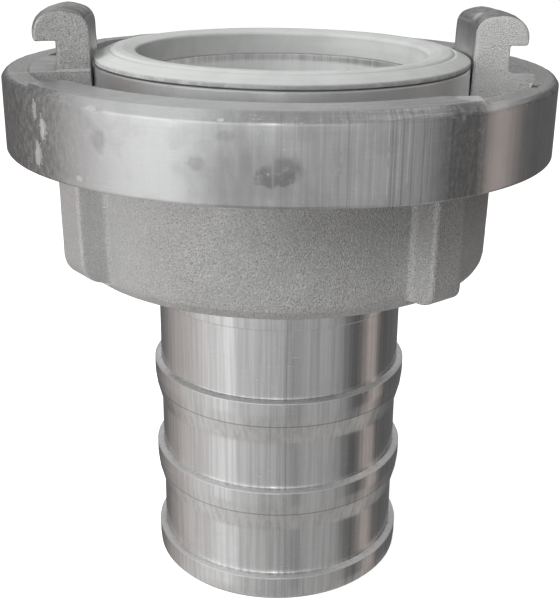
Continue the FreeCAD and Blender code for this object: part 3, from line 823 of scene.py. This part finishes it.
def turned_material():
    m, t, b, pos = material("bright_turned_aluminium")
    x, y, z = t.xyz(pos)
    lines = t.noise(t.scaled(pos, (0.02, 0.02, 4.0)), 1.0, 3.0, 0.6)
    broad = t.noise(t.scaled(pos, (0.02, 0.02, 0.5)), 1.0, 2.0, 0.5)
    streak = t.noise(t.scaled(pos, (0.9, 0.9, 0.02)), 1.0, 3.0, 0.6)
    thin = t.noise(t.scaled(t.vmath("ADD", pos, (13.0, 5.0, 0.0)), (3.6, 3.6, 0.06)), 1.0, 1.0, 0.5)
    blot = t.noise(pos, 0.16, 4.0, 0.6, 0.4)
    scr = t.range(t.noise(t.scaled(pos, (0.35, 0.35, 2.4)), 1.0, 3.0, 0.6, 0.6), 0.66, 0.72)
    rad = t.math("SQRT", t.math("ADD", t.math("MULTIPLY", x, x), t.math("MULTIPLY", y, y)))
    plain_ = t.math("MULTIPLY", t.range(rad, 40.0, 41.5), t.range(z, 100.0, 106.0))      # the head has no drag marks
    stripy = t.math("SUBTRACT", 1.0, t.math("MULTIPLY", plain_, 0.85))
    base = t.mix(t.math("MULTIPLY", t.range(streak, 0.38, 0.66), stripy), (0.93, 0.93, 0.93), (0.76, 0.755, 0.755))
    base = t.mix(t.math("MULTIPLY", t.range(thin, 0.62, 0.74, 0.0, 0.6), stripy), base, (0.99, 0.99, 0.99))
    base = t.mix(t.range(blot, 0.5, 0.7, 0.0, 0.25), base, (0.70, 0.695, 0.70))
    base = t.mix(t.math("MULTIPLY", scr, 0.35), base, (0.97, 0.97, 0.97))
    f = angle(t, x, y)
    pickup = needles(t, f, [(258.72, 0.21, 0.40), (268.41, 0.21, 0.40), (271.47, 0.21, 0.70), (275.41, 0.21, 0.65), (283.43, 0.21, 0.40), (285.71, 0.21, 0.40), (288.02, 0.21, 0.35), (290.86, 0.21, 0.35), (293.77, 0.21, 0.35), (299.36, 0.21, 1.00), (313.42, 0.21, 0.60), (319.92, 0.21, 0.50)])
    dotted = t.range(t.noise(t.scaled(pos, (0.5, 0.5, 0.8)), 1.0, 2.0, 0.6), 0.34, 0.5, 0.25, 1.0)
    lower_ = t.range(z, 88.0, 86.0)
    base = t.mix(t.math("MULTIPLY", t.math("MULTIPLY", pickup, dotted), lower_), base, (1.0, 1.0, 1.0))
    base = t.mix(t.math("MULTIPLY", lower_, needles(t, f, [(266.23, 0.26, 0.12), (273.21, 0.26, 0.20), (281.62, 0.26, 0.11), (286.86, 0.26, 0.10), (303.14, 0.26, 0.12), (307.14, 0.26, 0.18), (323.21, 0.26, 0.30)])), base, (0.1, 0.1, 0.1))
    bore = t.math("MULTIPLY", t.range(z, 96.0, 98.0), t.range(z, 122.5, 121.5))
    base = t.mix(t.math("MULTIPLY", bore, 0.7), base, (0.97, 0.97, 0.97))
    t.put(b.inputs["Metallic"], t.math("SUBTRACT", 1.0, t.math("MULTIPLY", bore, 0.45)))
    # crests of the barbs rubbed bright, partly a painted highlight along each crest corner; a dark line of painted
    # shade under each, at the crease
    rub_and_glint = None
    crease_shade = None
    for top in (53.5, 30.2, 6.5):
        k = t.range(t.math("ABSOLUTE", t.math("SUBTRACT", z, top)), 0.34, 0.12)
        rub_and_glint = k if rub_and_glint is None else t.math("MAXIMUM", rub_and_glint, k)
        k = t.range(t.math("ABSOLUTE", t.math("SUBTRACT", z, top - 6.08)), 0.22, 0.08)
        crease_shade = k if crease_shade is None else t.math("MAXIMUM", crease_shade, k)
    out_ = t.range(z, 80.0, 79.0)
    rub_and_glint = t.math("MULTIPLY", rub_and_glint, out_)
    crease_shade = t.math("MULTIPLY", crease_shade, out_)
    base = t.mix(t.math("MULTIPLY", rub_and_glint, 0.7), base, (1.0, 1.0, 1.0))
    # painted shade: the dark crease line under each barb
    base = t.mix(t.math("MULTIPLY", crease_shade, 0.62), base, (0.30, 0.30, 0.30))
    t.put(b.inputs["Base Color"], base)
    head = t.range(z, 100.0, 106.0)
    rough = t.math("ADD", 0.165, t.math("MULTIPLY", blot, 0.09))
    rough = t.math("ADD", rough, t.math("MULTIPLY", scr, 0.1))
    rough = t.math("ADD", rough, t.math("MULTIPLY", rub_and_glint, 0.18))
    rough = t.math("ADD", rough, t.math("MULTIPLY", head, 0.26))
    t.put(b.inputs["Roughness"], rough)
    b.inputs["Anisotropic"].default_value = 0.85
    b.inputs["Anisotropic Rotation"].default_value = 0.25
    tan = t.n.new("ShaderNodeTangent")
    tan.direction_type = "RADIAL"
    tan.axis = "Z"
    t.l.new(tan.outputs[0], b.inputs["Tangent"])
    h = t.math("ADD", t.math("MULTIPLY", lines, 0.5), t.math("MULTIPLY", broad, 0.5))
    t.put(b.inputs["Normal"], t.bump(h, 0.25, 0.00008))
    return m


def rubber_material():
    m, t, b, pos = material("light_grey_rubber")
    x, y, z = t.xyz(pos)
    r = t.math("SQRT", t.math("ADD", t.math("MULTIPLY", x, x), t.math("MULTIPLY", y, y)))
    cloud = t.noise(pos, 0.12, 4.0, 0.6, 0.3)
    fine = t.noise(pos, 3.2, 3.0, 0.6)
    rings = t.noise(t.comb(t.math("MULTIPLY", r, 1.6), t.math("MULTIPLY", z, 0.4), 0.0), 1.0, 2.0, 0.5)
    base = t.mix(t.range(cloud, 0.35, 0.7), (0.625, 0.640, 0.628), (0.565, 0.580, 0.568))
    base = t.mix(t.range(rings, 0.56, 0.72, 0.0, 0.35), base, (0.50, 0.515, 0.505))
    # painted shade: a darker ring along the step in the top face
    line = t.math("MULTIPLY", t.range(r, 39.05, 39.25), t.range(r, 39.8, 39.6))
    base = t.mix(t.math("MULTIPLY", line, 0.30), base, (0.36, 0.37, 0.36))
    # painted shadow under and along the lower edge of the outer lip
    grime_and_shadow = t.math("MULTIPLY", t.math("MULTIPLY", t.range(z, 127.9, 127.3), t.range(r, 41.0, 42.0)), t.range(t.noise(pos, 0.5, 3.0, 0.6), 0.3, 0.6))
    base = t.mix(t.math("MULTIPLY", grime_and_shadow, 0.45), base, (0.25, 0.255, 0.25))
    t.put(b.inputs["Base Color"], base)
    t.put(b.inputs["Roughness"], t.math("ADD", 0.50, t.math("MULTIPLY", cloud, 0.2)))
    b.inputs["Specular IOR Level"].default_value = 0.35
    h = t.math("ADD", t.math("MULTIPLY", fine, 0.35), t.math("MULTIPLY", rings, 0.65))
    t.put(b.inputs["Normal"], t.bump(h, 0.25, 0.00012))
    return m


def wire_material():
    m, t, b, pos = material("spring_wire_steel")
    n = t.noise(pos, 2.0, 3.0, 0.6)
    t.put(b.inputs["Base Color"], t.mix(n, (0.46, 0.45, 0.44), (0.62, 0.61, 0.60)))
    b.inputs["Metallic"].default_value = 1.0
    t.put(b.inputs["Roughness"], t.math("ADD", 0.25, t.math("MULTIPLY", n, 0.2)))
    t.put(b.inputs["Normal"], t.bump(n, 0.2, 0.00005))
    return m


M_cast, M_mach, M_tail, M_seal, M_wire = cast_material(), machined_material(), turned_material(), rubber_material(), wire_material()
M_skin = skin_material()

# which faces of the ring are cast skin and which are machined
me = ring.data
me.materials.clear()
me.materials.append(M_mach)
me.materials.append(M_cast)
me.materials.append(M_skin)
nf = len(me.polygons)
c = np.zeros(nf * 3)
me.polygons.foreach_get("center", c)
nrm = np.zeros(nf * 3)
me.polygons.foreach_get("normal", nrm)
c = c.reshape(-1, 3) * 1000
nrm = nrm.reshape(-1, 3)
r = np.hypot(c[:, 0], c[:, 1])
phi = np.degrees(np.arctan2(c[:, 1], c[:, 0]))
nr = (nrm[:, 0] * c[:, 0] + nrm[:, 1] * c[:, 1]) / r
idx = np.zeros(nf, np.int32)
idx[(c[:, 2] < 108.75) & (r > 43.0) & (r < 62.2)] = 1
for k in (0.0, 180.0):
    d = wrap(phi - k)
    on = (d > lug_a - 0.3) & (d < lug_b + 0.3)
    idx[on & (c[:, 2] > 115.6) & (r > 43.2) & (r < 57.3) & ~((r < 44.75) & (nr < -0.9)) & ~((c[:, 2] < 126.0) & (r > 51.6) & (nrm[:, 2] > 0.7))] = 1
    flank = np.abs(nrm[:, 0] * -np.sin(np.radians(phi)) + nrm[:, 1] * np.cos(np.radians(phi)))
    idx[on & (c[:, 2] > 132.2) & (flank < 0.6) & (nrm[:, 2] > 0.2) & (nr > -0.92)] = 2
    near = (d > slot_a - 10) & (d < slot_b)
    idx[near & (c[:, 2] > 122.6) & ((c[:, 2] < 125.55) | ((d < -30.0) & (k > 90) & (c[:, 2] < 126.16))) & (r < 61.25) & (r > 57.4) & (nrm[:, 2] > 0.3)] = 1
me.polygons.foreach_set("material_index", idx)
shade(ring)

tail.data.materials.append(M_tail)
shade(tail)
seal.data.materials.append(M_seal)
shade(seal, 50)
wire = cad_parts["snap_ring"]
wire.data.materials.clear()
wire.data.materials.append(M_wire)

for o, body, node, slot in ((ring, "ring", "lug_ring", "cast_ring"), (tail, "tail", "hose_tail", "turned_tail"), (seal, "tail", "sealing_ring", "seal")):
    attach(o, body)
    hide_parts(node)

# ============================================================ floor, light, camera
fm = bpy.data.meshes.new("floor")
s = 1.6
fm.from_pydata([(-s, -s, 0), (s, -s, 0), (s, s, 0), (-s, s, 0)], [], [(0, 1, 2, 3)])
floor = new_object("floor", fm)
m = bpy.data.materials.new("pale_floor")
m.use_nodes = True
t = Tree(m.node_tree)
t.n.clear()
out = t.n.new("ShaderNodeOutputMaterial")
b = t.n.new("ShaderNodeBsdfPrincipled")
tc = t.n.new("ShaderNodeTexCoord")
n = t.noise(tc.outputs["Object"], 9.0, 3.0, 0.5)
t.put(b.inputs["Base Color"], t.mix(n, (0.86, 0.86, 0.86), (0.88, 0.88, 0.88)))
b.inputs["Roughness"].default_value = 0.9
b.inputs["Specular IOR Level"].default_value = 0.1
b.inputs["Emission Color"].default_value = (1, 1, 1, 1)
b.inputs["Emission Strength"].default_value = 0.78
t.l.new(b.outputs[0], out.inputs[0])
fm.materials.append(m)
floor.visible_glossy = False

w = bpy.data.worlds.new("studio")
bpy.context.scene.world = w
w.use_nodes = True
t = Tree(w.node_tree)
t.n.clear()
out = t.n.new("ShaderNodeOutputWorld")
tc = t.n.new("ShaderNodeTexCoord")
x, y, z = t.xyz(tc.outputs["Generated"])
ang = t.math("DIVIDE", t.math("ARCTAN2", x, t.math("MULTIPLY", y, -1.0)), 2 * math.pi)
f = t.math("ADD", ang, 0.5)


def at(deg):
    return (deg + 180.0) / 360.0


band = [(-180, (0.14, 0.14, 0.14)), (-148, (0.13, 0.13, 0.13)), (-122, (0.33, 0.3, 0.29)), (-100, (0.48, 0.45, 0.44)), (-60, (0.66, 0.66, 0.66)),
        (-44, (0.76, 0.76, 0.76)), (-40, (0.52, 0.52, 0.52)), (0, (0.32, 0.32, 0.32)), (18, (0.2, 0.2, 0.2)), (24, (0.31, 0.31, 0.31)),
        (52, (0.32, 0.32, 0.32)), (74, (0.085, 0.085, 0.085)), (82, (0.085, 0.085, 0.085)), (98, (0.44, 0.38, 0.355)), (112, (0.09, 0.09, 0.09)),
        (180, (0.14, 0.14, 0.14))]      # one big softbox at the left, a strip at the right
low = t.ramp(f, [(at(a_), c_) for a_, c_ in band])
over = t.ramp(f, [(at(-180), (0.53, 0.53, 0.53)), (at(-165), (0.62, 0.62, 0.62)), (at(-148), (0.36, 0.355, 0.355)), (at(-130), (0.40, 0.40, 0.40)), (at(-110), (0.62, 0.62, 0.62)), (at(-80), (0.74, 0.74, 0.74)),
                  (at(-45), (0.70, 0.70, 0.70)), (at(-10), (0.50, 0.50, 0.50)), (at(40), (0.40, 0.395, 0.40)), (at(85), (0.46, 0.45, 0.44)), (at(115), (0.48, 0.47, 0.465)), (at(150), (0.34, 0.33, 0.33)),
                  (at(165), (0.47, 0.465, 0.465)), (at(180), (0.53, 0.53, 0.53))])
back = t.math("ABSOLUTE", t.math("SUBTRACT", f, 0.5))
up = t.math("MAXIMUM", t.range(z, 0.22, 0.60), t.math("MULTIPLY", t.range(z, 0.06, 0.30), t.range(back, 0.34, 0.46)))
sky = t.mix(up, low, over)
ground = t.ramp(f, [(at(-180), (0.35, 0.35, 0.35)), (at(-90), (0.60, 0.59, 0.58)), (at(0), (0.33, 0.325, 0.32)), (at(90), (0.34, 0.33, 0.32)), (at(180), (0.35, 0.35, 0.35))])
sky = t.mix(t.range(z, -0.52, -0.78), sky, ground)
glow = t.math("MULTIPLY", t.math("MULTIPLY", t.range(z, -0.20, -0.08), t.range(z, 0.30, 0.20)), t.math("MULTIPLY", t.range(f, at(-85), at(-62)), t.range(f, at(58), at(-12))))
sky = t.mix(glow, sky, (1.25, 1.25, 1.25))
# a small lamp in front, which shows on rounded edges only
lamp = t.math("MULTIPLY", t.math("MULTIPLY", t.range(f, at(-8.5), at(-6.5)), t.range(f, at(0.5), at(-1.5))), t.math("MULTIPLY", t.range(z, 0.03, 0.07), t.range(z, 0.42, 0.34)))
sky = t.mix(lamp, sky, (2.4, 2.4, 2.4))
lp = t.n.new("ShaderNodeLightPath")
bg1 = t.n.new("ShaderNodeBackground")
t.l.new(sky, bg1.inputs[0])
t.put(bg1.inputs[1], t.math("SUBTRACT", 1.0, t.math("MULTIPLY", lp.outputs["Is Diffuse Ray"], 0.50)))
bg2 = t.n.new("ShaderNodeBackground")
bg2.inputs[0].default_value = (1, 1, 1, 1)
ms = t.n.new("ShaderNodeMixShader")
t.l.new(lp.outputs["Is Camera Ray"], ms.inputs[0])
t.l.new(bg1.outputs[0], ms.inputs[1])
t.l.new(bg2.outputs[0], ms.inputs[2])
t.l.new(ms.outputs[0], out.inputs[0])


def area(name, loc, aim, size, power, colour=(1, 1, 1)):
    d = bpy.data.lights.new(name, "AREA")
    d.shape = "RECTANGLE"
    d.size, d.size_y = size
    d.energy = power
    d.color = colour
    o = bpy.data.objects.new(name, d)
    o.location = loc
    o.rotation_euler = (Vector(aim) - Vector(loc)).to_track_quat("-Z", "Y").to_euler()
    bpy.context.scene.collection.objects.link(o)
    return o


key = area("key_left", (-0.75, -0.45, 0.75), (0, 0, 0.11), (0.5, 0.7), 2.2)
key.visible_glossy = False
fill = area("key_soft", (-0.60, 0.0, 0.95), (0, 0, 0.12), (0.30, 0.30), 6.0)
fill.visible_glossy = False
front = area("fill_front", (-0.10, -0.95, 0.50), (0, 0, 0.12), (0.5, 0.3), 2.6)
front.visible_glossy = False

cam = bpy.data.cameras.new("camera")
cam.lens = 1072.095 * 36.0 / 600.0
cam.sensor_width = 36.0
cam.sensor_fit = "AUTO"
cam.shift_x = -0.0451          # the photograph is cropped off centre
cam.shift_y = -0.0025
cam.clip_start = 0.01
co = bpy.data.objects.new("camera", cam)
bpy.context.scene.collection.objects.link(co)
yaw, pit, rol = -0.0296, 0.35744, -0.01909
right = np.array([1.0, 0, 0])
fwd = np.array([0, math.cos(pit), -math.sin(pit)])
down = np.array([0, -math.sin(pit), -math.cos(pit)])
r2 = math.cos(rol) * right + math.sin(rol) * down
d2 = -math.sin(rol) * right + math.cos(rol) * down
cz, sz = math.cos(yaw), math.sin(yaw)
Rz = np.array([[cz, -sz, 0], [sz, cz, 0], [0, 0, 1]])
r2, d2, fwd = Rz @ r2, Rz @ d2, Rz @ fwd
co.matrix_world = Matrix(((r2[0], -d2[0], -fwd[0], -0.000618), (r2[1], -d2[1], -fwd[1], -0.251976),
                          (r2[2], -d2[2], -fwd[2], 0.161777), (0, 0, 0, 1)))
sc = bpy.context.scene
sc.camera = co
sc.view_settings.view_transform = "Standard"
sc.view_settings.look = "None"
